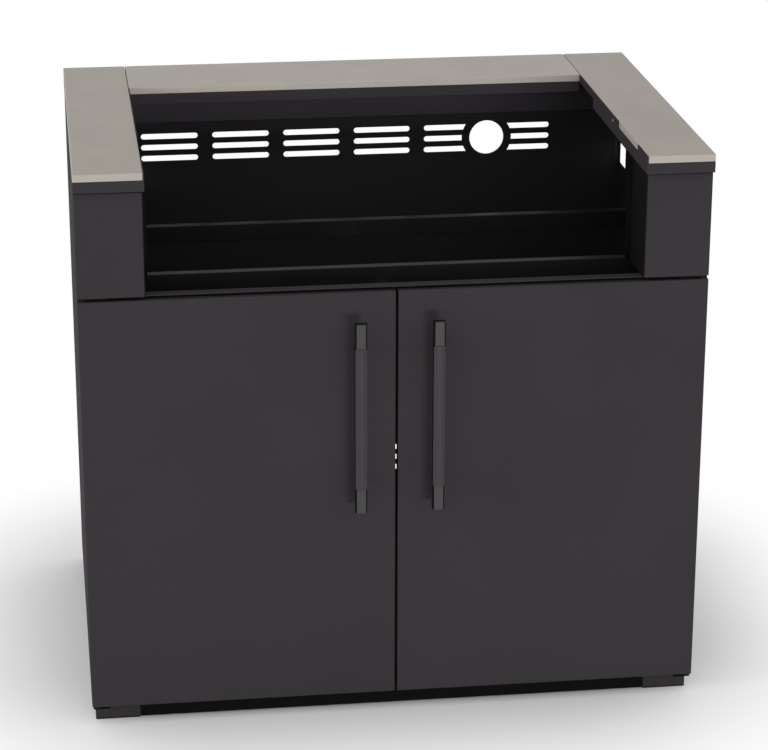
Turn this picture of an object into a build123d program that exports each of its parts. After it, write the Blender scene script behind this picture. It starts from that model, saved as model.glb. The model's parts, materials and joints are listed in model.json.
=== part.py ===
from build123d import *
import os

# Grill cabinet for an outdoor kitchen: a folded steel carcass with a stone worktop
# in three slabs round an open grill bay, and a pair of doors on pivot pins.
# Millimetres. X runs to the right, Y from front to back, Z up from the floor.

# Worktop and grill opening
worktop_width = 1000.0
worktop_depth = 700.0
worktop_height = 936.0
slab_thickness = 12.0
slab_edge_radius = 2.0
slab_joint = 0.8
grill_opening_width = 782.0
grill_opening_depth = 542.0

# Folded sheet and carcass
sheet = 1.5
bend_radius = 1.2
carcass_side_inset = 0.5
back_head_clearance = 0.4
panel_clearance = 0.5
front_flange_width = 26.0
rear_flange_width = 11.0
top_flange_width = 32.0
back_seam_drop = 400.0
back_seam_flange = 4.0
back_seam_inset = 29.5

# Trays that carry the slabs
tray_height = 18.0
upstand_drop = 1.0
upstand_clearance = 0.3
notch_from_front = 73.0
notch_length = 148.0
lip_relief_length = 120.0
tray_tab_length = 40.0
tray_tab_margin = 20.0
clamp_screw_from_front = 259.0
clamp_screw_above_tray = 3.0
clamp_screw_radius = 1.5
clamp_head_radius = 2.2
clamp_head_height = 0.9

# Posts beside the grill bay
post_height = 172.0
post_depth = 104.0
post_inner_inset = 2.0
post_back_flange = 7.0
post_top_gap = 4.0
post_edge_radius = 2.0

# Rails
front_rail_height = 30.0
front_rail_setback = 8.0
front_rail_bottom_flange = 26.0
front_rail_edge_radius = 1.0
rear_rail_depth = 23.5
rear_rail_drop = 97.0
support_rail_width = 15.0
support_rail_height = 30.0
support_rail_setback = 1.0
support_rail_rise = 2.0
support_rail_spacing = 262.0
base_rail_width = 15.0
base_rail_height = 25.0
rail_wall = 1.5
rail_edge_radius = 1.0
rail_bracket_thickness = 2.0
rail_bracket_ledge = 27.0
rail_bracket_leg = 30.0
rail_bracket_width = 20.0

# Vent slots, hose hole and side pass-through
vent_groups = 6
vent_rows = 3
vent_slot_length = 101.0
vent_slot_width = 10.0
vent_group_pitch = 127.0
vent_row_pitch = 20.0
upper_vent_drop = 148.5
lower_vent_drop = 761.0
hose_hole_radius = 31.0
hose_hole_x = 254.0
hose_land_radius = 45.0
pass_width = 49.0
pass_height = 38.0
pass_from_back = 11.0
pass_below_top = 162.5
pass_corner_radius = 3.0

# Doors
door_setback = 10.0
door_thickness = 18.0
door_back_gap = 4.0
door_centre_gap = 4.0
door_top_gap = 6.0
door_bottom_gap = 3.0
door_edge_radius = 2.0
liner_border = 40.0
liner_recess = 4.0
liner_corner_radius = 12.0

# Pivot hinges
hinge_edge_distance = 8.0
hinge_plate = 2.0
hinge_plate_margin = 0.5
hinge_plate_setback = 4.0
hinge_tongue_width = 28.0
upper_hinge_length = 45.0
upper_hinge_screw_inset = 9.0
upper_hinge_screw_spacing = 13.5
pin_radius = 3.0
pin_reach = 14.0
pin_shoulder_radius = 4.5
pin_clearance = 0.06
hinge_running_gap = 0.3
bush_radius = 5.0
bush_flange_radius = 7.0
bush_flange = 1.5
bush_length = 16.0
seat_clearance = 0.05
pivot_block_length = 26.0
pivot_block_height = 25.0

# Handles
handle_x = 62.0
handle_length = 317.0
handle_below_door_top = 40.0
handle_projection = 44.0
handle_bar_width = 19.0
handle_bar_depth = 9.0
handle_grip_width = 18.4
handle_grip_thickness = 4.0
handle_grip_side = 1.4
handle_grip_flat = 7.0
handle_grip_shoulder = 3.0
handle_end_length = 40.0
handle_end_width = 14.6
handle_end_thickness = 3.0
handle_end_radius = 0.6
handle_hole_spacing = 224.0
handle_leg_radius = 4.5
handle_thread_depth = 12.0

# Catches and bumpers
catch_x = 42.0
catch_width = 40.0
catch_depth = 22.0
catch_height = 16.0
catch_edge_radius = 1.0
catch_peg_radius = 2.0
catch_peg_spacing = 24.0
catch_gap = 0.3
magnet_width = 26.0
magnet_height = 8.0
magnet_depth = 6.0
strike_width = 36.0
strike_height = 12.0
strike_thickness = 1.2
bumper_radius = 5.0
bumper_from_edge = 16.0
bumper_gap = 0.3

# Feet and base skirt
foot_height = 29.0
foot_width = 72.0
foot_wall = 2.0
foot_side_inset = 5.5
foot_setback = 0.5
foot_edge_radius = 1.5
skirt_end_gap = 0.5
skirt_floor_gap = 2.0
skirt_flange = 20.0
glide_thickness = 3.0
glide_plug_height = 6.0
glide_clearance = 0.2

# Screws
screw_radius = 2.5
screw_head_radius = 4.5
screw_head_height = 2.6
screw_head_rounding = 1.4
screw_socket_radius = 1.7
screw_socket_depth = 1.4
screw_clearance = 0.1
screw_tail = 4.0
foot_screw_inset = 22.0
back_screw_margin = 15.0

# How far an edge may lie from the place it is looked for at
place_tolerance = 0.01

# Places worked out from the sizes above. The origin is on the floor, midway between
# the front of the handles and the back edge of the worktop.
handle_reach = handle_projection - door_setback
worktop_front = handle_reach / 2 - worktop_depth / 2
worktop_back = worktop_front + worktop_depth
worktop_half = worktop_width / 2
opening_half = grill_opening_width / 2
opening_back = worktop_front + grill_opening_depth

slab_bottom = worktop_height - slab_thickness
tray_underside = slab_bottom - sheet
carcass_top = slab_bottom - tray_height
carcass_half = worktop_half - carcass_side_inset
inside_half = carcass_half - sheet
carcass_back = worktop_back - screw_head_height - back_head_clearance
back_panel_front = carcass_back - sheet
rear_flange_front = back_panel_front - sheet
rear_flange_edge = carcass_half - rear_flange_width
back_seam = worktop_height - back_seam_drop
back_seam_half = carcass_half - back_seam_inset

front_face = worktop_front + door_setback
door_back = front_face + door_thickness
carcass_front = door_back + door_back_gap
web_front = carcass_front + sheet
post_bottom = carcass_top - post_height
post_inner = opening_half + post_inner_inset
post_back = front_face + post_depth
post_face_top = carcass_top - post_top_gap
front_rail_top = post_bottom
front_rail_bottom = front_rail_top - front_rail_height
front_rail_edge = front_face + front_rail_setback
flange_underside = front_rail_top - sheet
rear_rail_front = rear_flange_front - rear_rail_depth
rear_rail_bottom = worktop_height - rear_rail_drop
support_rail_top = post_bottom + support_rail_rise
support_rail_bottom = support_rail_top - support_rail_height
support_rail_fronts = [
    post_back + support_rail_setback,
    post_back + support_rail_setback + support_rail_spacing,
]
base_rail_bottom = foot_height + sheet
base_rail_top = base_rail_bottom + base_rail_height

door_top = post_bottom - door_top_gap
door_bottom = foot_height + door_bottom_gap
door_inner = door_centre_gap / 2
liner_front = door_back - sheet
recess_front = liner_front - liner_recess
recess_seat = recess_front + sheet

hinge_x = carcass_half - hinge_edge_distance
hinge_y = front_face + door_thickness / 2
hinge_plate_front = front_face + hinge_plate_setback
lower_plate_top = foot_height
upper_plate_bottom = flange_underside - hinge_plate

handle_middle = door_top - handle_below_door_top - handle_length / 2
handle_front = front_face - handle_projection
handle_bar_front = handle_front + handle_grip_thickness
handle_bar_back = handle_bar_front + handle_bar_depth
handle_hole_heights = [
    handle_middle - handle_hole_spacing / 2,
    handle_middle + handle_hole_spacing / 2,
]

foot_outer = carcass_half - foot_side_inset
foot_inner = foot_outer - foot_width
front_foot_front = carcass_front + foot_setback
rear_foot_front = carcass_back - foot_setback - foot_width
screw_hole_radius = screw_radius + screw_clearance
strike_back = door_back + strike_thickness
catch_front = strike_back + catch_gap


def span(a, b):
    """Low and high limit between two places given in either order."""
    return (min(a, b), max(a, b))


def block(x_span, y_span, z_span):
    """Box between the low and high limits along each axis."""
    spans = (x_span, y_span, z_span)
    middle = [(low + high) / 2 for low, high in spans]
    size = [high - low for low, high in spans]
    return Pos(*middle) * Box(*size)


def upright_rod(x, y, z_span, radius):
    """Round rod along Z."""
    low, high = z_span
    return Pos(x, y, (low + high) / 2) * Cylinder(radius, high - low)


def level_rod(x, y_span, z, radius):
    """Round rod along Y."""
    low, high = y_span
    return Pos(x, (low + high) / 2, z) * Rot(90, 0, 0) * Cylinder(radius, high - low)


def cross_rod(x_span, y, z, radius):
    """Round rod along X."""
    low, high = x_span
    return Pos((low + high) / 2, y, z) * Rot(0, 90, 0) * Cylinder(radius, high - low)


def edges_at(shape, direction, *limits):
    """Straight edges along one axis whose middles lie at the given (axis, place) limits."""
    found = shape.edges().filter_by(direction)
    for axis, place in limits:
        found = found.filter_by_position(axis, place - place_tolerance, place + place_tolerance)
    return found


def screw(grip):
    """Button-head screw along Z: the head stands on z = 0, the shank goes down by the grip."""
    head = Pos(0, 0, screw_head_height / 2) * Cylinder(screw_head_radius, screw_head_height)
    head = fillet(head.edges().sort_by(Axis.Z)[-1], screw_head_rounding)
    socket = extrude(RegularPolygon(screw_socket_radius, 6), amount=screw_socket_depth)
    shank = Pos(0, 0, -grip / 2) * Cylinder(screw_radius, grip)
    return head + shank - Pos(0, 0, screw_head_height - screw_socket_depth) * socket


def screw_down(x, y, seat, grip):
    """Screw with its head on top of a level seat."""
    return Pos(x, y, seat) * screw(grip)


def screw_up(x, y, seat, grip):
    """Screw with its head below a level seat."""
    return Pos(x, y, seat) * Rot(180, 0, 0) * screw(grip)


def screw_forward(x, seat, z, grip):
    """Screw with its head behind an upright seat, pointing to the front."""
    return Pos(x, seat, z) * Rot(-90, 0, 0) * screw(grip)


def save(name, *solids):
    """Write one node, as a single solid or as a group of separate solids."""
    shape = solids[0] if len(solids) == 1 else Compound(children=list(solids))
    export_step(shape, os.path.join("parts", name + ".step"))


def save_pair(name, *solids):
    """Write the right-hand node and its mirror image on the left."""
    save("right_" + name, *solids)
    save("left_" + name, *[solid.mirror(Plane.YZ) for solid in solids])


def both_sides(solids):
    """The given right-hand solids together with their mirror images."""
    return list(solids) + [solid.mirror(Plane.YZ) for solid in solids]


# Worktop slabs
def eased_slab(x_span, y_span):
    """Stone slab with eased upper and corner edges."""
    slab = block(x_span, y_span, (slab_bottom, worktop_height))
    eased = slab.edges().filter_by(Axis.Z) + slab.faces().sort_by(Axis.Z)[-1].edges()
    return fillet(eased, slab_edge_radius)


slab_inner = opening_half + sheet + upstand_clearance
rear_slab_half = slab_inner - slab_joint


def side_worktop():
    return eased_slab((slab_inner, worktop_half), (worktop_front, worktop_back))


def rear_worktop():
    return eased_slab((-rear_slab_half, rear_slab_half), (opening_back, worktop_back))


# Worktop trays
clamp_screw_height = slab_bottom + clamp_screw_above_tray
clamp_screw_y = worktop_front + clamp_screw_from_front


def side_tray():
    """Folded pan under a side slab, with an upstand that guards the slab's inner edge.

    The inner lip is cut back near the rear tray, whose tabs reach in under this pan.
    """
    x_all = (opening_half, worktop_half)
    y_all = (worktop_front, carcass_back)
    lip = (carcass_top, slab_bottom)
    inner_y = (worktop_front, opening_back - panel_clearance)
    notch_start = worktop_front + notch_from_front
    tray = block(x_all, y_all, (tray_underside, slab_bottom))
    tray += block((worktop_half - sheet, worktop_half), y_all, lip)
    tray += block(x_all, (worktop_front, worktop_front + sheet), lip)
    tray += block(x_all, (back_panel_front, carcass_back), lip)
    bends = edges_at(tray, Axis.X, (Axis.Z, slab_bottom))
    bends += edges_at(tray, Axis.Y, (Axis.X, worktop_half), (Axis.Z, slab_bottom))
    bends += edges_at(tray, Axis.Z, (Axis.X, worktop_half))
    tray = fillet(bends, bend_radius)
    inner_wall = (opening_half, opening_half + sheet)
    tray += block(inner_wall, inner_y, (carcass_top, worktop_height - upstand_drop))
    tray -= block(inner_wall, (notch_start, notch_start + notch_length), (slab_bottom, worktop_height))
    tray -= block(inner_wall, (inner_y[1] - lip_relief_length, inner_y[1]), (carcass_top, tray_underside))
    tray -= cross_rod(inner_wall, clamp_screw_y, clamp_screw_height, clamp_screw_radius + screw_clearance)
    return tray


def clamp_screw():
    """Short screw through the right-hand upstand, tight against the slab's inner edge."""
    shank_x = (opening_half, slab_inner)
    head_x = (opening_half - clamp_head_height, opening_half)
    shank = cross_rod(shank_x, clamp_screw_y, clamp_screw_height, clamp_screw_radius)
    return shank + cross_rod(head_x, clamp_screw_y, clamp_screw_height, clamp_head_radius)


def rear_tray():
    """Folded pan under the rear slab, with joggled tabs that reach under the side trays."""
    half = opening_half - panel_clearance
    x_all = (-half, half)
    lip = (carcass_top, slab_bottom)
    tab_y = (opening_back + tray_tab_margin, rear_rail_front - tray_tab_margin)
    tray = block(x_all, (opening_back, carcass_back), (tray_underside, slab_bottom))
    tray += block(x_all, (opening_back, opening_back + sheet), lip)
    tray += block(x_all, (back_panel_front, carcass_back), lip)
    tray = fillet(edges_at(tray, Axis.X, (Axis.Z, slab_bottom)), bend_radius)
    for side in (-1, 1):
        tab_x = span(side * (half - tray_tab_length), side * (half + tray_tab_length))
        tray += block(tab_x, tab_y, (tray_underside - sheet, tray_underside))
    return tray


# Carcass panels
back_screw_x = (rear_flange_edge + inside_half) / 2
upper_back_screw_z = [back_seam + back_screw_margin, carcass_top - back_screw_margin]
lower_back_screw_z = [
    foot_height + 2 * base_rail_height,
    (foot_height + back_seam) / 2,
    back_seam - back_screw_margin,
]
base_screw_x = [-rear_flange_edge / 2, 0, rear_flange_edge / 2]
base_screw_z = base_rail_bottom + base_rail_height / 2


def back_screw_places():
    """Places of the screws that hold both back panels to the side panels' rear flanges."""
    heights = upper_back_screw_z + lower_back_screw_z
    return [(side * back_screw_x, z) for side in (-1, 1) for z in heights]


pass_back = rear_flange_front - pass_from_back
pass_top = worktop_height - pass_below_top


def side_panel():
    """Right side: folded sheet with front, rear and top flanges and a pass-through near the back."""
    panel_y = (carcass_front, back_panel_front)
    wall_z = (foot_height, carcass_top)
    front_flange = (carcass_half - front_flange_width, carcass_half)
    rear_flange = (rear_flange_edge, carcass_half)
    top_flange = (carcass_half - top_flange_width, carcass_half)
    top_y = (carcass_front, rear_rail_front - panel_clearance)
    panel = block((inside_half, carcass_half), panel_y, wall_z)
    panel += block(front_flange, (carcass_front, web_front), (foot_height, flange_underside))
    panel += block(rear_flange, (rear_flange_front, back_panel_front), wall_z)
    panel += block(top_flange, top_y, (carcass_top - sheet, carcass_top))
    bends = edges_at(panel, Axis.Z, (Axis.X, carcass_half))
    bends += edges_at(panel, Axis.Y, (Axis.X, carcass_half), (Axis.Z, carcass_top))
    panel = fillet(bends, bend_radius)
    hole_y = (pass_back - pass_width, pass_back)
    hole_z = (pass_top - pass_height, pass_top)
    hole = block((inside_half, carcass_half), hole_y, hole_z)
    panel -= fillet(hole.edges().filter_by(Axis.X), pass_corner_radius)
    for z in upper_back_screw_z + lower_back_screw_z:
        panel -= level_rod(back_screw_x, (rear_flange_front, back_panel_front), z, screw_hole_radius)
    return panel


foot_screw_x = [foot_inner + foot_screw_inset, foot_outer - foot_screw_inset]
front_foot_screw_y = [front_foot_front + foot_screw_inset, front_foot_front + foot_width - foot_screw_inset]
rear_foot_screw_y = [rear_foot_front + foot_screw_inset, rear_foot_front + foot_width - foot_screw_inset]


def foot_screw_places(screw_y):
    """Two screws in opposite corners of a foot on the right-hand side."""
    return list(zip(foot_screw_x, screw_y))


def all_foot_screw_places():
    """Places of every foot screw, on both sides of the cabinet."""
    right = foot_screw_places(front_foot_screw_y) + foot_screw_places(rear_foot_screw_y)
    return right + [(-x, y) for x, y in right]


base_rear_x = (-rear_flange_edge + panel_clearance, rear_flange_edge - panel_clearance)


def base_panel():
    """Floor of the cabinet: a flat sheet on the feet, from the doors to the back panel."""
    plate = (foot_height, base_rail_bottom)
    panel = block((-inside_half, inside_half), (web_front, rear_flange_front), plate)
    panel += block(base_rear_x, (rear_flange_front, back_panel_front), plate)
    for x, y in all_foot_screw_places():
        panel -= upright_rod(x, y, plate, screw_hole_radius)
    return panel


def square_tube(x_span, y_span, z_span):
    """Steel tube along X with rounded outer edges, open at both ends."""
    tube = block(x_span, y_span, z_span)
    tube = fillet(tube.edges().filter_by(Axis.X), rail_edge_radius)
    bore_y = (y_span[0] + rail_wall, y_span[1] - rail_wall)
    bore_z = (z_span[0] + rail_wall, z_span[1] - rail_wall)
    return tube - block(x_span, bore_y, bore_z)


def front_base_rail():
    """Tube along the front of the base, which the doors' lower bumpers close against."""
    rail_y = (web_front, web_front + base_rail_width)
    return square_tube((-inside_half, inside_half), rail_y, (base_rail_bottom, base_rail_top))


def rear_base_rail():
    """Tube along the back of the base, which takes the back panel's lower screws."""
    rail_y = (back_panel_front - base_rail_width, back_panel_front)
    rail = square_tube(base_rear_x, rail_y, (base_rail_bottom, base_rail_top))
    wall_y = (back_panel_front - rail_wall, back_panel_front)
    for x in base_screw_x:
        rail -= level_rod(x, wall_y, base_screw_z, screw_hole_radius)
    return rail


def vent_slots(middle_height):
    """Cutters for a band of round-ended slots: groups side by side, rows one above another."""
    profile = extrude(SlotOverall(vent_slot_length, vent_slot_width), amount=2 * sheet, both=True)
    cutters = Part()
    for group in range(vent_groups):
        x = (group - (vent_groups - 1) / 2) * vent_group_pitch
        for row in range(vent_rows):
            z = middle_height + (row - (vent_rows - 1) / 2) * vent_row_pitch
            cutters += Pos(x, back_panel_front, z) * Rot(90, 0, 0) * profile
    return cutters


def back_sheet(z_span, flange_span):
    """One back panel with a stiffening flange along its seam and its screw holes."""
    panel = block((-carcass_half, carcass_half), (back_panel_front, carcass_back), z_span)
    flange_y = (back_panel_front - back_seam_flange, back_panel_front)
    panel += block((-back_seam_half, back_seam_half), flange_y, flange_span)
    for x, z in back_screw_places():
        if z_span[0] < z < z_span[1]:
            panel -= level_rod(x, (back_panel_front, carcass_back), z, screw_hole_radius)
    return panel


upper_vent_middle = worktop_height - upper_vent_drop
lower_vent_middle = worktop_height - lower_vent_drop


def upper_back_panel():
    """Upper back panel: vent slots that stop short of the round land about the hose hole."""
    through = (back_panel_front - 2 * sheet, carcass_back + 2 * sheet)
    land = level_rod(hose_hole_x, through, upper_vent_middle, hose_land_radius)
    panel = back_sheet((back_seam, carcass_top), (back_seam, back_seam + sheet))
    panel -= vent_slots(upper_vent_middle) - land
    panel -= level_rod(hose_hole_x, through, upper_vent_middle, hose_hole_radius)
    return panel


def lower_back_panel():
    """Lower back panel with its own band of vent slots, screwed to the base as well."""
    panel = back_sheet((foot_height, back_seam), (back_seam - sheet, back_seam))
    panel -= vent_slots(lower_vent_middle)
    for x in base_screw_x:
        panel -= level_rod(x, (back_panel_front, carcass_back), base_screw_z, screw_hole_radius)
    return panel


def back_panel_screws():
    """Screws along both edges of the back panels and along the base."""
    edge_grip = 2 * sheet + screw_tail
    screws = [screw_forward(x, carcass_back, z, edge_grip) for x, z in back_screw_places()]
    screws += [screw_forward(x, carcass_back, base_screw_z, edge_grip) for x in base_screw_x]
    return screws


# Posts and rails
def post_cover():
    """Right column beside the grill bay: front face, inner return and short outer return.

    The front stops short of the worktop's lip, and the inner return ends in a narrow
    flange turned into the bay.
    """
    x_all = (post_inner, carcass_half)
    z_all = (post_bottom, tray_underside)
    outer_back = carcass_front - panel_clearance
    cover = block(x_all, (front_face, post_back), z_all)
    cover = fillet(edges_at(cover, Axis.Z, (Axis.Y, front_face)), post_edge_radius)
    cover -= block((post_inner + sheet, inside_half), (front_face + sheet, post_back), z_all)
    cover -= block((inside_half, carcass_half), (outer_back, post_back), z_all)
    cover -= block(x_all, (front_face, outer_back), (post_face_top, tray_underside))
    flange_x = (post_inner - post_back_flange, post_inner)
    flange_z = (post_bottom, carcass_top - panel_clearance)
    return cover + block(flange_x, (post_back - sheet, post_back), flange_z)


hinge_screw_y = (front_rail_edge + carcass_front) / 2
upper_hinge_edge = inside_half - hinge_plate_margin
upper_hinge_screw_start = upper_hinge_edge - upper_hinge_length + upper_hinge_screw_inset
upper_hinge_screw_x = [upper_hinge_screw_start, upper_hinge_screw_start + upper_hinge_screw_spacing]
catch_peg_x = [catch_x - catch_peg_spacing / 2, catch_x + catch_peg_spacing / 2]
catch_back = catch_front + catch_depth
catch_peg_y = (web_front + sheet + catch_back) / 2


def front_top_rail():
    """Rail over the doors: top flange to the front, web, bottom flange to the back."""
    x_all = (-inside_half, inside_half)
    flange_z = (flange_underside, front_rail_top)
    bottom_z = (front_rail_bottom, front_rail_bottom + sheet)
    rail = block(x_all, (front_rail_edge, web_front + sheet), flange_z)
    rail += block(x_all, (web_front, web_front + sheet), (front_rail_bottom, front_rail_top))
    bottom_y = (web_front, web_front + front_rail_bottom_flange)
    rail += block(x_all, bottom_y, bottom_z)
    front_edge = edges_at(rail, Axis.X, (Axis.Y, front_rail_edge), (Axis.Z, front_rail_top))
    rail = fillet(front_edge, front_rail_edge_radius)
    for side in (-1, 1):
        for x in upper_hinge_screw_x:
            rail -= upright_rod(side * x, hinge_screw_y, flange_z, screw_hole_radius)
        for x in catch_peg_x:
            rail -= upright_rod(side * x, catch_peg_y, bottom_z, catch_peg_radius + screw_clearance)
    return rail


def rear_top_rail():
    """Channel across the back under the trays, open to the rear."""
    x_all = (-inside_half, inside_half)
    rail_y = (rear_rail_front, rear_flange_front)
    rail_z = (rear_rail_bottom, tray_underside)
    rail = block(x_all, rail_y, rail_z)
    rail = fillet(edges_at(rail, Axis.X, (Axis.Y, rear_rail_front)), bend_radius)
    hollow_z = (rear_rail_bottom + sheet, tray_underside - sheet)
    rail -= block(x_all, (rear_rail_front + sheet, rear_flange_front), hollow_z)
    return rail


support_screw_x = inside_half - rail_bracket_ledge / 2


def support_rail(front):
    """Steel tube that carries the grill, from side to side."""
    rail_y = (front, front + support_rail_width)
    rail = square_tube((-inside_half, inside_half), rail_y, (support_rail_bottom, support_rail_top))
    wall_z = (support_rail_bottom, support_rail_bottom + rail_wall)
    for side in (-1, 1):
        rail -= upright_rod(side * support_screw_x, sum(rail_y) / 2, wall_z, screw_hole_radius)
    return rail


def rail_bracket(front):
    """Right-hand angle bracket: a ledge under the support rail and a leg on the side panel."""
    middle = front + support_rail_width / 2
    bracket_y = (middle - rail_bracket_width / 2, middle + rail_bracket_width / 2)
    ledge_z = (support_rail_bottom - rail_bracket_thickness, support_rail_bottom)
    leg_z = (ledge_z[1] - rail_bracket_leg, ledge_z[1])
    bracket = block((inside_half - rail_bracket_ledge, inside_half), bracket_y, ledge_z)
    bracket += block((inside_half - rail_bracket_thickness, inside_half), bracket_y, leg_z)
    return bracket - upright_rod(support_screw_x, middle, ledge_z, screw_hole_radius)


def support_rail_screw(front):
    """Right-hand screw from below, through the ledge into the support rail."""
    seat = support_rail_bottom - rail_bracket_thickness
    grip = rail_bracket_thickness + rail_wall + screw_tail
    return screw_up(support_screw_x, front + support_rail_width / 2, seat, grip)


# Feet
def foot(front, top):
    """Right-hand foot: a folded steel box, open below, that stands on its glide."""
    foot_x = (foot_inner, foot_outer)
    foot_y = (front, front + foot_width)
    box = block(foot_x, foot_y, (glide_thickness, top))
    box = fillet(box.edges().filter_by(Axis.Z), foot_edge_radius)
    inner_x = (foot_inner + foot_wall, foot_outer - foot_wall)
    inner_y = (front + foot_wall, front + foot_width - foot_wall)
    return box - block(inner_x, inner_y, (glide_thickness, top - foot_wall))


def drilled_foot(front, top, screw_y):
    """Right-hand foot with its two screw holes."""
    box = foot(front, top)
    for x, y in foot_screw_places(screw_y):
        box -= upright_rod(x, y, (top - foot_wall, top), screw_hole_radius)
    return box


def foot_glide(front):
    """Plastic sole of a right-hand foot, with a plug that fits inside the foot's walls."""
    glide = block((foot_inner, foot_outer), (front, front + foot_width), (0, glide_thickness))
    glide = fillet(glide.edges().filter_by(Axis.Z), foot_edge_radius)
    inset = foot_wall + glide_clearance
    plug_x = (foot_inner + inset, foot_outer - inset)
    plug_y = (front + inset, front + foot_width - inset)
    return glide + block(plug_x, plug_y, (glide_thickness, glide_thickness + glide_plug_height))


def foot_screws():
    """Screws from inside the base, down into the feet."""
    seat = base_rail_bottom
    screws = []
    for x, y in foot_screw_places(front_foot_screw_y):
        screws.append(screw_down(x, y, seat, sheet + hinge_plate + foot_wall + screw_tail))
    for x, y in foot_screw_places(rear_foot_screw_y):
        screws.append(screw_down(x, y, seat, sheet + foot_wall + screw_tail))
    return both_sides(screws)


def base_skirt():
    """Dark angle between the front feet that closes the gap under the cabinet."""
    half = foot_inner - skirt_end_gap
    x_all = (-half, half)
    face_y = (front_foot_front, front_foot_front + sheet)
    flange_y = (front_foot_front, front_foot_front + skirt_flange)
    skirt = block(x_all, face_y, (skirt_floor_gap, foot_height))
    skirt += block(x_all, flange_y, (foot_height - sheet, foot_height))
    bend = edges_at(skirt, Axis.X, (Axis.Y, front_foot_front), (Axis.Z, foot_height))
    return fillet(bend, bend_radius)


# Pivot hinges
def lower_hinge_bracket():
    """Right-hand plate between foot and base, with a tongue that reaches under the door."""
    plate_z = (lower_plate_top - hinge_plate, lower_plate_top)
    foot_y = (front_foot_front, front_foot_front + foot_width)
    tongue_x = (inside_half - hinge_tongue_width, inside_half - hinge_plate_margin)
    plate = block((foot_inner, foot_outer), foot_y, plate_z)
    plate += block(tongue_x, (hinge_plate_front, front_foot_front + hinge_tongue_width), plate_z)
    plate -= upright_rod(hinge_x, hinge_y, plate_z, pin_radius + seat_clearance)
    for x, y in foot_screw_places(front_foot_screw_y):
        plate -= upright_rod(x, y, plate_z, screw_hole_radius)
    return plate


def upper_hinge_bracket():
    """Right-hand plate under the front rail's top flange, above the door."""
    plate_z = (upper_plate_bottom, flange_underside)
    plate_x = (upper_hinge_edge - upper_hinge_length, upper_hinge_edge)
    plate_y = (hinge_plate_front, carcass_front - hinge_plate_margin)
    plate = block(plate_x, plate_y, plate_z)
    plate -= upright_rod(hinge_x, hinge_y, plate_z, pin_radius + seat_clearance)
    for x in upper_hinge_screw_x:
        plate -= upright_rod(x, hinge_screw_y, plate_z, screw_hole_radius)
    return plate


def hinge_screws():
    """Screws from above the front rail's flange into the upper hinge brackets."""
    grip = sheet + hinge_plate
    return both_sides([screw_down(x, hinge_screw_y, front_rail_top, grip) for x in upper_hinge_screw_x])


hinge_ends = [
    (lower_plate_top, door_bottom, 1),
    (upper_plate_bottom, door_top, -1),
]


def hinge_pin(plate_face, door_face, way):
    """Right-hand pin: seated in its plate, with a shoulder that the door's bush runs against."""
    shoulder_end = door_face - way * (bush_flange + hinge_running_gap)
    seat = plate_face - way * hinge_plate
    tip = door_face + way * pin_reach
    pin = upright_rod(hinge_x, hinge_y, span(seat, tip), pin_radius)
    return pin + upright_rod(hinge_x, hinge_y, span(plate_face, shoulder_end), pin_shoulder_radius)


def hinge_bush(plate_face, door_face, way):
    """Right-hand flanged bush in the end of the door."""
    flange_face = door_face - way * bush_flange
    sleeve_end = door_face + way * bush_length
    bush = upright_rod(hinge_x, hinge_y, span(flange_face, door_face), bush_flange_radius)
    bush += upright_rod(hinge_x, hinge_y, span(door_face, sleeve_end), bush_radius)
    return bush - upright_rod(hinge_x, hinge_y, span(flange_face, sleeve_end), pin_radius + pin_clearance)


def pivot_block(plate_face, door_face, way):
    """Block inside the hinge corner of the right-hand door that holds the bush."""
    inner_face = door_face + way * sheet
    z_all = span(inner_face, inner_face + way * pivot_block_height)
    block_x = (inside_half - pivot_block_length, inside_half)
    holder = block(block_x, (front_face + sheet, liner_front), z_all)
    return holder - upright_rod(hinge_x, hinge_y, z_all, bush_radius + seat_clearance)


# Doors
def door_skin():
    """Right-hand door front: a folded pan with rounded front edges, open at the back."""
    door_x = (door_inner, carcass_half)
    door_z = (door_bottom, door_top)
    skin = block(door_x, (front_face, door_back), door_z)
    skin = fillet(skin.edges().filter_by(Axis.Y), door_edge_radius)
    skin = fillet(skin.faces().sort_by(Axis.Y)[0].edges(), door_edge_radius)
    hollow_x = (door_inner + sheet, inside_half)
    hollow_z = (door_bottom + sheet, door_top - sheet)
    skin -= block(hollow_x, (front_face + sheet, door_back), hollow_z)
    skin -= upright_rod(hinge_x, hinge_y, door_z, bush_radius + seat_clearance)
    for z in handle_hole_heights:
        skin -= level_rod(handle_x, (front_face, front_face + sheet), z, screw_hole_radius)
    return skin


def door_liner():
    """Right-hand inner door panel with a shallow pressed recess."""
    liner_x = (door_inner + sheet, inside_half)
    liner_z = (door_bottom + sheet, door_top - sheet)
    recess_x = (door_inner + liner_border, carcass_half - liner_border)
    recess_z = (door_bottom + liner_border, door_top - liner_border)
    outer_x = (recess_x[0] - sheet, recess_x[1] + sheet)
    outer_z = (recess_z[0] - sheet, recess_z[1] + sheet)
    pressing = block(outer_x, (recess_front, door_back), outer_z)
    pressing = fillet(pressing.edges().filter_by(Axis.Y), liner_corner_radius + sheet)
    hollow = block(recess_x, (recess_seat, door_back), recess_z)
    hollow = fillet(hollow.edges().filter_by(Axis.Y), liner_corner_radius)
    liner = block(liner_x, (liner_front, door_back), liner_z) + pressing - hollow
    for z in handle_hole_heights:
        liner -= level_rod(handle_x, (recess_front, recess_seat), z, screw_hole_radius)
    return liner


# Handles
def handle_bar():
    """Dark rail of the right-hand handle, along its whole length."""
    bar_x = (handle_x - handle_bar_width / 2, handle_x + handle_bar_width / 2)
    bar_z = (handle_middle - handle_length / 2, handle_middle + handle_length / 2)
    bar = block(bar_x, (handle_bar_front, handle_bar_back), bar_z)
    return fillet(bar.edges().filter_by(Axis.Z), handle_end_radius)


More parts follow.
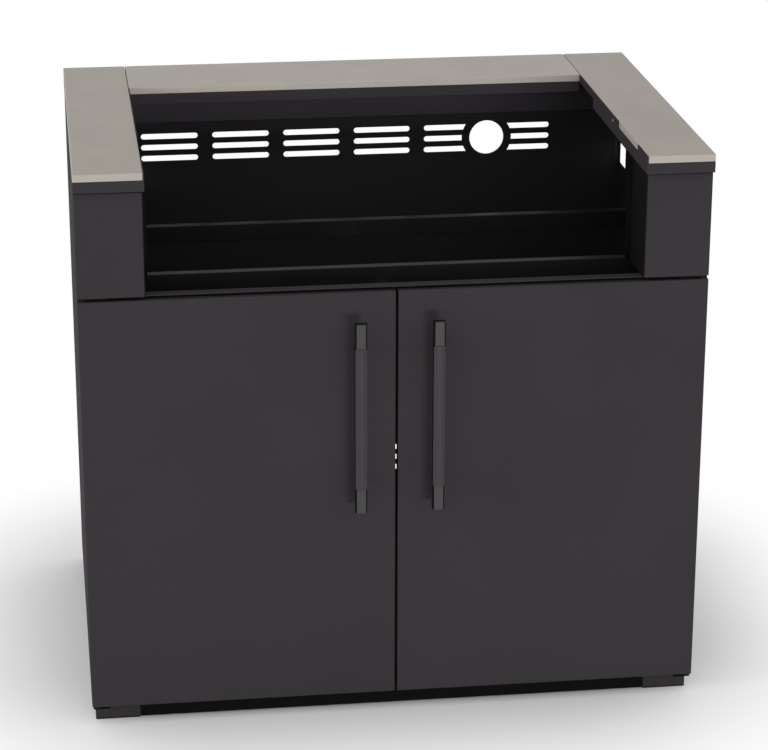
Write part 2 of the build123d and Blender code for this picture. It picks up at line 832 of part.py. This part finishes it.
def handle_grip():
    """Faceted strip on the middle of the right-hand handle, with rounded shoulders at its ends."""
    half_width = handle_grip_width / 2
    half_flat = handle_grip_flat / 2
    half_length = handle_length / 2 - handle_end_length
    facet_y = handle_bar_front - handle_grip_side
    outline = Polyline(
        (-half_width, handle_bar_front),
        (-half_width, facet_y),
        (-half_flat, handle_front),
        (half_flat, handle_front),
        (half_width, facet_y),
        (half_width, handle_bar_front),
        close=True,
    )
    strip = extrude(make_face(outline), amount=half_length, both=True)
    plan = block((-half_width, half_width), (handle_front, handle_bar_front), (-half_length, half_length))
    rounded = fillet(plan.edges().filter_by(Axis.Y), handle_grip_shoulder)
    return Pos(handle_x, 0, handle_middle) * (strip & rounded)


def handle_end_plate(end):
    """Lighter plate on one end of the right-hand handle: end is 1 at the top and -1 below."""
    plate_x = (handle_x - handle_end_width / 2, handle_x + handle_end_width / 2)
    tip = handle_middle + end * handle_length / 2
    plate_z = span(tip, tip - end * handle_end_length)
    plate = block(plate_x, (handle_bar_front - handle_end_thickness, handle_bar_front), plate_z)
    return fillet(plate.faces().sort_by(Axis.Y)[0].edges(), handle_end_radius)


def handle_leg(z):
    """Round leg of the right-hand handle, tapped for its screw."""
    leg = level_rod(handle_x, (handle_bar_back, front_face), z, handle_leg_radius)
    return leg - level_rod(handle_x, (front_face - handle_thread_depth, front_face), z, screw_hole_radius)


def handle_screw(z):
    """Screw from inside the right-hand door into a handle leg."""
    grip = recess_seat - front_face + handle_thread_depth - screw_tail / 2
    return screw_forward(handle_x, recess_seat, z, grip)


# Catches and bumpers
catch_top = front_rail_bottom
catch_middle = catch_top - catch_height / 2
catch_span = (catch_x - catch_width / 2, catch_x + catch_width / 2)
magnet_x = (catch_x - magnet_width / 2, catch_x + magnet_width / 2)
magnet_y = (catch_front, catch_front + magnet_depth)
magnet_z = (catch_middle - magnet_height / 2, catch_middle + magnet_height / 2)


def door_catch():
    """Right-hand catch body under the front rail, with two pegs that snap into it."""
    body = block(catch_span, (catch_front, catch_back), (catch_top - catch_height, catch_top))
    body = fillet(body.edges().filter_by(Axis.Z), catch_edge_radius)
    body -= block(magnet_x, magnet_y, magnet_z)
    for x in catch_peg_x:
        body += upright_rod(x, catch_peg_y, (catch_top, catch_top + 2 * sheet), catch_peg_radius)
    return body


def catch_magnet():
    """Right-hand magnet, flush with the front of its catch."""
    return block(magnet_x, magnet_y, magnet_z)


def strike_plate():
    """Right-hand steel plate on the door, opposite the magnet."""
    plate_x = (catch_x - strike_width / 2, catch_x + strike_width / 2)
    plate_z = (catch_middle - strike_height / 2, catch_middle + strike_height / 2)
    return block(plate_x, (door_back, strike_back), plate_z)


def door_bumper(z):
    """Rubber bumper on the right-hand door, just short of the carcass."""
    bumper_x = door_inner + bumper_from_edge
    return level_rod(bumper_x, (door_back, web_front - bumper_gap), z, bumper_radius)


bumper_heights = [
    base_rail_top - bumper_radius - panel_clearance,
    front_rail_bottom + front_rail_height / 2,
]


# Nodes
os.makedirs("parts", exist_ok=True)

save_pair("worktop", side_worktop())
save("rear_worktop", rear_worktop())
save_pair("worktop_tray", side_tray())
save("rear_worktop_tray", rear_tray())
save("slab_clamp_screws", *both_sides([clamp_screw()]))

save_pair("side_panel", side_panel())
save("base_panel", base_panel())
save("base_rails", front_base_rail(), rear_base_rail())
save("upper_back_panel", upper_back_panel())
save("lower_back_panel", lower_back_panel())
save("back_panel_screws", *back_panel_screws())

save_pair("post_cover", post_cover())
save("front_top_rail", front_top_rail())
save("rear_top_rail", rear_top_rail())
for place, front in zip(("front", "rear"), support_rail_fronts):
    save(place + "_support_rail", support_rail(front))
save("rail_brackets", *both_sides([rail_bracket(front) for front in support_rail_fronts]))
save("support_rail_screws", *both_sides([support_rail_screw(front) for front in support_rail_fronts]))

front_foot = drilled_foot(front_foot_front, foot_height - hinge_plate, front_foot_screw_y)
rear_foot = drilled_foot(rear_foot_front, foot_height, rear_foot_screw_y)
for place, right_foot in (("front", front_foot), ("rear", rear_foot)):
    save(place + "_right_foot", right_foot)
    save(place + "_left_foot", right_foot.mirror(Plane.YZ))
save("foot_glides", *both_sides([foot_glide(front_foot_front), foot_glide(rear_foot_front)]))
save("foot_screws", *foot_screws())
save("base_skirt", base_skirt())

save_pair("lower_hinge_bracket", lower_hinge_bracket())
save_pair("upper_hinge_bracket", upper_hinge_bracket())
save("hinge_screws", *hinge_screws())
save("hinge_pins", *both_sides([hinge_pin(*end) for end in hinge_ends]))
save_pair("hinge_bushes", *[hinge_bush(*end) for end in hinge_ends])
save_pair("pivot_blocks", *[pivot_block(*end) for end in hinge_ends])

save_pair("door_skin", door_skin())
save_pair("door_liner", door_liner())
save_pair("handle_bar", handle_bar())
save_pair("handle_grip", handle_grip())
save_pair("handle_end_plates", handle_end_plate(1), handle_end_plate(-1))
save_pair("handle_legs", *[handle_leg(z) for z in handle_hole_heights])
save_pair("handle_screws", *[handle_screw(z) for z in handle_hole_heights])

save_pair("door_catch", door_catch())
save("catch_magnets", *both_sides([catch_magnet()]))
save_pair("strike_plate", strike_plate())
save_pair("door_bumpers", *[door_bumper(z) for z in bumper_heights])
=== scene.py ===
import json
import math

import bpy
from mathutils import Euler, Matrix, Vector


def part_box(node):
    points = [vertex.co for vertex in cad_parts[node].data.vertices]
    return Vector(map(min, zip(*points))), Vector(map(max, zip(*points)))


# Looks of the grill cabinet: the finish of every piece, a pale floor, soft light and the camera.
# Metres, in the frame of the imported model: X to the right, Y to the back, Z up from the floor.
# Colours are linear red, green and blue.

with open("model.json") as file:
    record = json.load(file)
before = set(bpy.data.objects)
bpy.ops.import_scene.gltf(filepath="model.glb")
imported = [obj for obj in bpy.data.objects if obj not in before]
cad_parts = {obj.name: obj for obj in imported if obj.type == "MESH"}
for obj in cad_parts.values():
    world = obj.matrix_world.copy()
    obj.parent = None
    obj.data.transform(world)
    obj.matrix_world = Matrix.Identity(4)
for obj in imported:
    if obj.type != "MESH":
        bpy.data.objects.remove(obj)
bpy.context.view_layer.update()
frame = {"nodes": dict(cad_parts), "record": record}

# Camera, with its lens and sensor in millimetres
camera_place = (-0.5436, -4.3346, 2.0530)
camera_turn = math.radians(7.424)
camera_tilt = math.radians(19.897)
camera_roll = math.radians(0.109)
camera_lens = 127.34
sensor_width = 36.0

# Light, with the power of the lamps in watts
ambient_level = 0.9
front_lamp_place = (0.75, -3.8, 0.22)
front_lamp_target = (0.0, -0.3, 0.5)
front_lamp_size = (1.1, 0.35)
front_lamp_power = 55.0
side_lamp_place = (-4.0, -1.2, 1.3)
side_lamp_target = (0.4, 0.0, 0.93)
side_lamp_size = (1.2, 0.4)
side_lamp_power = 60.0
white = (1.0, 1.0, 1.0, 1.0)

# Floor, which fades to white with the distance from a rectangle under the cabinet
floor_half = 12.0
floor_drop = 0.0003
floor_colour = (0.787, 0.773, 0.787)
floor_shadow_middle = (-0.014, 0.06)
floor_shadow_half = (0.26, 0.13)
floor_fade_start = 0.2
floor_fade_end = 0.67

# Colours of the finishes
anthracite = (0.0318, 0.0286, 0.0318)
# Painted light: paler anthracite for the rail under the rear slab
painted_light_anthracite = (0.0445, 0.0400, 0.0445)
satin_black = (0.0105, 0.0094, 0.0105)
deep_black = (0.0040, 0.0038, 0.0040)
# Painted shade: the darkest black, for the skirt in the shadow under the cabinet
skirt_painted_shade_black = (0.0035, 0.0032, 0.0035)
warm_grey = (0.329, 0.299, 0.265)
pale_warm_grey = (0.364, 0.337, 0.302)
grip_grey = (0.0348, 0.0316, 0.0348)
plate_grey = (0.0450, 0.0408, 0.0450)
zinc_grey = (0.600, 0.600, 0.585)
screw_black = (0.030, 0.030, 0.032)
magnet_grey = (0.250, 0.250, 0.260)
plastic_black = (0.0080, 0.0080, 0.0084)
rubber_black = (0.0150, 0.0150, 0.0150)

# Sizes of surface grain, and depths of its relief
powder_grain = 0.0008
powder_cloud = 0.25
powder_relief = 0.00006
matt_relief = 0.00004
stone_grain = 0.0016
stone_cloud = 0.09
stone_fleck = 0.004
stone_relief = 0.00005
brush_width = 0.0004
brush_length = 0.03
brush_relief = 0.00002
streak_width = 0.003
streak_length = 0.4
zinc_patch = 0.004
fine_grain = 0.0005
plated_relief = 0.00001
magnet_relief = 0.00002
plastic_relief = 0.00003
rubber_relief = 0.00004

# Most of the noise lies between these two values
noise_low = 0.3
noise_high = 0.7

# Posts: their fronts begin past the flange and the sheet at their inner edge, and their returns into the bay
# carry painted shade, darker than the fronts
post_flange = 0.007
post_sheet = 0.0015
post_front_blend = 0.001
post_return_painted_shade = 0.2
post_front_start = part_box("right_post_cover")[0].x + post_flange + post_sheet
post_front_full = post_front_start + post_front_blend


def empty_tree(owner):
    """The node tree of a new material or world, with nothing in it."""
    owner.use_nodes = True
    owner.node_tree.nodes.clear()
    return owner.node_tree


class Finish:
    """A procedural material: one Principled shader and the nodes that vary it over the surface."""

    def __init__(self, name, metallic=0.0, specular=0.5):
        self.material = bpy.data.materials.new(name)
        self.tree = empty_tree(self.material)
        self.shader = self.add("ShaderNodeBsdfPrincipled")
        self.shader.inputs["Metallic"].default_value = metallic
        self.shader.inputs["Specular IOR Level"].default_value = specular
        self.place = self.add("ShaderNodeTexCoord").outputs["Object"]
        output = self.add("ShaderNodeOutputMaterial")
        self.link(self.shader.outputs["BSDF"], output.inputs["Surface"])

    def add(self, kind):
        return self.tree.nodes.new(kind)

    def link(self, source, target):
        self.tree.links.new(source, target)

    def stretched_place(self, size):
        """Coordinates in which one unit is the given size along each axis."""
        mapping = self.add("ShaderNodeMapping")
        mapping.inputs["Scale"].default_value = [1 / length for length in size]
        self.link(self.place, mapping.inputs["Vector"])
        return mapping.outputs["Vector"]

    def noise(self, size, detail=2.0):
        """Noise from 0 to 1 whose patches have the given size: one length, or one for each axis."""
        lengths = size if isinstance(size, tuple) else (size,) * 3
        texture = self.add("ShaderNodeTexNoise")
        texture.inputs["Scale"].default_value = 1.0
        texture.inputs["Detail"].default_value = detail
        self.link(self.stretched_place(lengths), texture.inputs["Vector"])
        return texture.outputs["Fac"]

    def spots(self, size):
        """Distance to the nearest of many scattered points that lie about one size apart."""
        texture = self.add("ShaderNodeTexVoronoi")
        texture.inputs["Scale"].default_value = 1.0
        self.link(self.stretched_place((size,) * 3), texture.inputs["Vector"])
        return texture.outputs["Distance"]

    def from_middle(self):
        """Distance from the middle plane of the cabinet, to the left or to the right."""
        parts = self.add("ShaderNodeSeparateXYZ")
        distance = self.add("ShaderNodeMath")
        distance.operation = "ABSOLUTE"
        self.link(self.place, parts.inputs["Vector"])
        self.link(parts.outputs["X"], distance.inputs[0])
        return distance.outputs["Value"]

    def spread(self, value, low, high, start, end):
        """A number that goes from low to high as the value goes from start to end."""
        ranged = self.add("ShaderNodeMapRange")
        ranged.inputs["From Min"].default_value = start
        ranged.inputs["From Max"].default_value = end
        ranged.inputs["To Min"].default_value = low
        ranged.inputs["To Max"].default_value = high
        self.link(value, ranged.inputs["Value"])
        return ranged.outputs["Result"]

    def tinted(self, colour, value, low, high, start=noise_low, end=noise_high):
        """A colour, fixed or from a node, times a factor that the value spreads from low to high."""
        product = self.add("ShaderNodeVectorMath")
        product.operation = "SCALE"
        if isinstance(colour, tuple):
            product.inputs["Vector"].default_value = colour
        else:
            self.link(colour, product.inputs["Vector"])
        self.link(self.spread(value, low, high, start, end), product.inputs["Scale"])
        return product.outputs["Vector"]

    def colour(self, value):
        self.link(value, self.shader.inputs["Base Color"])

    def roughness(self, value, low, high, start=noise_low, end=noise_high):
        """Roughness that the value spreads from low to high."""
        self.link(self.spread(value, low, high, start, end), self.shader.inputs["Roughness"])

    def bump(self, height, depth):
        """Relief of the given depth, from a height between 0 and 1."""
        relief = self.add("ShaderNodeBump")
        relief.inputs["Strength"].default_value = 1.0
        relief.inputs["Distance"].default_value = depth
        self.link(height, relief.inputs["Height"])
        self.link(relief.outputs["Normal"], self.shader.inputs["Normal"])


def coated(name, colour, specular=0.02, roughness=0.74, roughness_swing=0.04):
    """Fine-textured powder coat: its finish, and its colour with grain and faint clouds."""
    finish = Finish(name, specular=specular)
    grain = finish.noise(powder_grain)
    cloud = finish.noise(powder_cloud)
    tone = finish.tinted(colour, grain, low=0.9, high=1.1)
    finish.roughness(cloud, low=roughness - roughness_swing, high=roughness + roughness_swing)
    finish.bump(grain, powder_relief)
    return finish, finish.tinted(tone, cloud, low=0.96, high=1.04)


def powder_coat():
    """Anthracite powder coat."""
    finish, tone = coated("powder_coat", anthracite)
    finish.colour(tone)
    return finish.material


def post_coat_painted_shade():
    """Anthracite powder coat on the posts, with painted shade that makes their returns into the grill bay
    much darker.
    """
    finish, tone = coated("post_coat_painted_shade", anthracite)
    reach = finish.from_middle()
    # Painted shade: where the post lies nearer the middle than its front, on the return into the bay, its
    # colour drops to a fifth
    finish.colour(finish.tinted(tone, reach, post_return_painted_shade, 1.0, post_front_start, post_front_full))
    return finish.material


def rear_rail_painted_light_coat():
    """The same coat, made a little paler as painted light, on the rail under the rear slab."""
    # Painted light: a paler copy of the anthracite coat stands in for more light on this rail
    finish, tone = coated("rear_rail_painted_light_coat", painted_light_anthracite)
    finish.colour(tone)
    return finish.material


def rail_black():
    """Satin black powder coat on the rails that carry the grill."""
    finish, tone = coated("rail_black", satin_black, specular=0.25, roughness=0.38)
    finish.colour(tone)
    return finish.material


def honed_stone(name, colour):
    """Honed sintered stone with a fine grain, small dark flecks and faint clouds."""
    finish = Finish(name, specular=0.08)
    grain = finish.noise(stone_grain, detail=4.0)
    cloud = finish.noise(stone_cloud, detail=3.0)
    fleck = finish.spots(stone_fleck)
    tone = finish.tinted(colour, cloud, low=0.96, high=1.04)
    tone = finish.tinted(tone, grain, low=0.93, high=1.07)
    finish.colour(finish.tinted(tone, fleck, low=0.9, high=1.0, start=0.05, end=0.25))
    finish.roughness(grain, low=0.42, high=0.56)
    finish.bump(grain, stone_relief)
    return finish.material


def stone():
    """Stone of the side slabs."""
    return honed_stone("stone", warm_grey)


def rear_stone():
    """Stone of the rear slab, a little paler."""
    return honed_stone("rear_stone", pale_warm_grey)


def handle_metal(name, colour):
    """Dark anodised metal with a fine grain and faint streaks along its length."""
    finish = Finish(name, metallic=0.2, specular=0.2)
    grain = finish.noise((brush_width, brush_width, brush_length))
    streak = finish.noise((streak_width, streak_width, streak_length))
    tone = finish.tinted(colour, grain, low=0.86, high=1.14)
    finish.colour(finish.tinted(tone, streak, low=0.92, high=1.08))
    finish.roughness(grain, low=0.6, high=0.7)
    finish.bump(grain, brush_relief)
    return finish.material


def handle_grip():
    """Metal of the grips."""
    return handle_metal("handle_grip", grip_grey)


def handle_plate():
    """Metal of the handles' end plates, a little paler."""
    return handle_metal("handle_plate", plate_grey)


def black_coat(name, colour, specular):
    """Black coating with a fine matt grain."""
    finish = Finish(name, specular=specular)
    grain = finish.noise(powder_grain)
    finish.colour(finish.tinted(colour, grain, low=0.85, high=1.15))
    finish.roughness(grain, low=0.65, high=0.75)
    finish.bump(grain, matt_relief)
    return finish.material


def matt_black():
    """Black coating of the handles' rails and legs and of the hinge brackets."""
    return black_coat("matt_black", deep_black, specular=0.06)


def skirt_black_painted_shade():
    """Black coating of the skirt, made a little darker as painted shade from under the cabinet."""
    # Painted shade: the skirt's black is darker than the other black to stand in for the shadow under the
    # cabinet
    return black_coat("skirt_black_painted_shade", skirt_painted_shade_black, specular=0.04)


def zinc_steel():
    """Zinc plating with faint patches."""
    finish = Finish("zinc_steel", metallic=1.0)
    patch = finish.spots(zinc_patch)
    grain = finish.noise(fine_grain)
    finish.colour(finish.tinted(zinc_grey, patch, low=0.88, high=1.06, start=0.0, end=0.8))
    finish.roughness(patch, low=0.3, high=0.42, start=0.0, end=0.8)
    finish.bump(grain, plated_relief)
    return finish.material


def black_screw():
    """Black coated steel with bare metal showing a little."""
    finish = Finish("black_screw", metallic=0.6, specular=0.4)
    grain = finish.noise(fine_grain)
    finish.colour(finish.tinted(screw_black, grain, low=0.8, high=1.3))
    finish.roughness(grain, low=0.38, high=0.5)
    finish.bump(grain, plated_relief)
    return finish.material


def magnet():
    """Plain sintered magnet."""
    finish = Finish("magnet", metallic=0.9)
    grain = finish.noise(fine_grain, detail=4.0)
    finish.colour(finish.tinted(magnet_grey, grain, low=0.8, high=1.2))
    finish.roughness(grain, low=0.4, high=0.55)
    finish.bump(grain, magnet_relief)
    return finish.material


def moulded(name, colour, roughness, depth, roughness_swing=0.05):
    """Moulded plastic or rubber with the fine texture of its mould."""
    finish = Finish(name, specular=0.12)
    grain = finish.noise(fine_grain)
    finish.colour(finish.tinted(colour, grain, low=0.88, high=1.12))
    finish.roughness(grain, low=roughness - roughness_swing, high=roughness + roughness_swing)
    finish.bump(grain, depth)
    return finish.material


def black_plastic():
    """Plastic of the bushes, pivot blocks, catches and glides."""
    return moulded("black_plastic", plastic_black, roughness=0.6, depth=plastic_relief)


def rubber():
    """Rubber of the door bumpers."""
    return moulded("rubber", rubber_black, roughness=0.75, depth=rubber_relief)


# Finish of every piece: each of these functions has the name of the slot that it finishes
slot_finishes = (powder_coat, stone, matt_black, rail_black, handle_plate, handle_grip,
                 zinc_steel, black_screw, magnet, black_plastic, rubber)
finishes = {make_finish.__name__: make_finish() for make_finish in slot_finishes}
for subpart in frame["record"]["subparts"]:
    mesh = frame["nodes"][subpart["node"]].data
    mesh.materials.clear()
    mesh.materials.append(finishes[subpart["material_slot"]])

# Pieces that differ a little from the rest of their slot: the posts and the skirt carry painted shade, the
# rear rail painted light
post_painted_shade_finish = post_coat_painted_shade()
own_finishes = {
    "left_post_cover": post_painted_shade_finish,
    "right_post_cover": post_painted_shade_finish,
    "base_skirt": skirt_black_painted_shade(),
    "rear_top_rail": rear_rail_painted_light_coat(),
    "rear_worktop": rear_stone(),
}
for node, own_finish in own_finishes.items():
    frame["nodes"][node].data.materials[0] = own_finish


# Floor and surroundings
def seen_directly(tree):
    """1 for rays from the camera, from gloss and through glass, and 0 for the rays that light the object."""
    path = tree.nodes.new("ShaderNodeLightPath")
    seen = path.outputs["Is Camera Ray"]
    for kind in ("Is Glossy Ray", "Is Transmission Ray"):
        larger = tree.nodes.new("ShaderNodeMath")
        larger.operation = "MAXIMUM"
        tree.links.new(seen, larger.inputs[0])
        tree.links.new(path.outputs[kind], larger.inputs[1])
        seen = larger.outputs["Value"]
    return seen


def vector_step(tree, operation, vector, other=(0.0, 0.0, 0.0)):
    """Outputs of one operation on a vector from a node and, where it takes two, another vector."""
    step = tree.nodes.new("ShaderNodeVectorMath")
    step.operation = operation
    step.inputs[1].default_value = other
    tree.links.new(vector, step.inputs[0])
    return step.outputs


def end_with_mix(tree, output_kind, factor, first, second):
    """End a node tree in a mix of two shaders: the first where the factor is 0, the second where it is 1."""
    mix = tree.nodes.new("ShaderNodeMixShader")
    output = tree.nodes.new(output_kind)
    tree.links.new(factor, mix.inputs["Fac"])
    tree.links.new(first, mix.inputs[1])
    tree.links.new(second, mix.inputs[2])
    tree.links.new(mix.outputs["Shader"], output.inputs["Surface"])


def make_world():
    """White where it is seen, and an even soft light elsewhere."""
    world = bpy.data.worlds.new("studio")
    tree = empty_tree(world)
    light = tree.nodes.new("ShaderNodeBackground")
    light.inputs["Strength"].default_value = ambient_level
    light.inputs["Color"].default_value = white
    backdrop = tree.nodes.new("ShaderNodeBackground")
    backdrop.inputs["Color"].default_value = white
    end_with_mix(tree, "ShaderNodeOutputWorld", seen_directly(tree),
                 light.outputs["Background"], backdrop.outputs["Background"])
    bpy.context.scene.world = world


def floor_material():
    """Pale matt floor that keeps the shadows and fades into the white backdrop away from the object."""
    material = bpy.data.materials.new("floor")
    tree = empty_tree(material)
    matt = tree.nodes.new("ShaderNodeBsdfDiffuse")
    matt.inputs["Color"].default_value = (*floor_colour, 1.0)
    glow = tree.nodes.new("ShaderNodeEmission")
    glow.inputs["Color"].default_value = white

    # Distance from the rectangle, which is 0 inside it
    place = tree.nodes.new("ShaderNodeTexCoord").outputs["Object"]
    centred = vector_step(tree, "SUBTRACT", place, (*floor_shadow_middle, 0.0))["Vector"]
    across = vector_step(tree, "ABSOLUTE", centred)["Vector"]
    beyond = vector_step(tree, "SUBTRACT", across, (*floor_shadow_half, 0.0))["Vector"]
    outside = vector_step(tree, "MAXIMUM", beyond)["Vector"]
    distance = vector_step(tree, "LENGTH", outside)["Value"]

    fade = tree.nodes.new("ShaderNodeMapRange")
    fade.interpolation_type = "SMOOTHSTEP"
    fade.inputs["From Min"].default_value = floor_fade_start
    fade.inputs["From Max"].default_value = floor_fade_end
    tree.links.new(distance, fade.inputs["Value"])
    seen_fade = tree.nodes.new("ShaderNodeMath")
    seen_fade.operation = "MULTIPLY"
    tree.links.new(fade.outputs["Result"], seen_fade.inputs[0])
    tree.links.new(seen_directly(tree), seen_fade.inputs[1])
    end_with_mix(tree, "ShaderNodeOutputMaterial", seen_fade.outputs["Value"],
                 matt.outputs["BSDF"], glow.outputs["Emission"])
    return material


def make_floor():
    """Wide square floor, just below the cabinet's feet."""
    far = floor_half
    corners = [(-far, -far), (far, -far), (far, far), (-far, far)]
    mesh = bpy.data.meshes.new("floor")
    mesh.from_pydata([(x, y, -floor_drop) for x, y in corners], [], [(0, 1, 2, 3)])
    mesh.materials.append(floor_material())
    floor = bpy.data.objects.new("floor", mesh)
    bpy.context.scene.collection.objects.link(floor)


def make_lamp(name, place, target, size, power):
    """Soft rectangular lamp that shines from a place towards a target."""
    light = bpy.data.lights.new(name, "AREA")
    light.shape = "RECTANGLE"
    light.size, light.size_y = size
    light.energy = power
    lamp = bpy.data.objects.new(name, light)
    aim = Vector(target) - Vector(place)
    lamp.location = place
    lamp.rotation_euler = aim.to_track_quat("-Z", "Y").to_euler()
    bpy.context.scene.collection.objects.link(lamp)


def make_camera():
    """Camera at its place, turned to the cabinet, tilted down and rolled a little."""
    camera = bpy.data.objects.new("camera", bpy.data.cameras.new("camera"))
    camera.data.lens = camera_lens
    camera.data.sensor_width = sensor_width
    level = Euler((math.pi / 2 - camera_tilt, 0.0, -camera_turn)).to_matrix()
    turned = level @ Matrix.Rotation(camera_roll, 3, "Z")
    camera.matrix_world = Matrix.Translation(camera_place) @ turned.to_4x4()
    bpy.context.scene.collection.objects.link(camera)
    bpy.context.scene.camera = camera


make_world()
make_floor()
make_lamp("front_lamp", front_lamp_place, front_lamp_target, front_lamp_size, front_lamp_power)
make_lamp("side_lamp", side_lamp_place, side_lamp_target, side_lamp_size, side_lamp_power)
make_camera()
bpy.context.scene.view_settings.view_transform = "Standard"
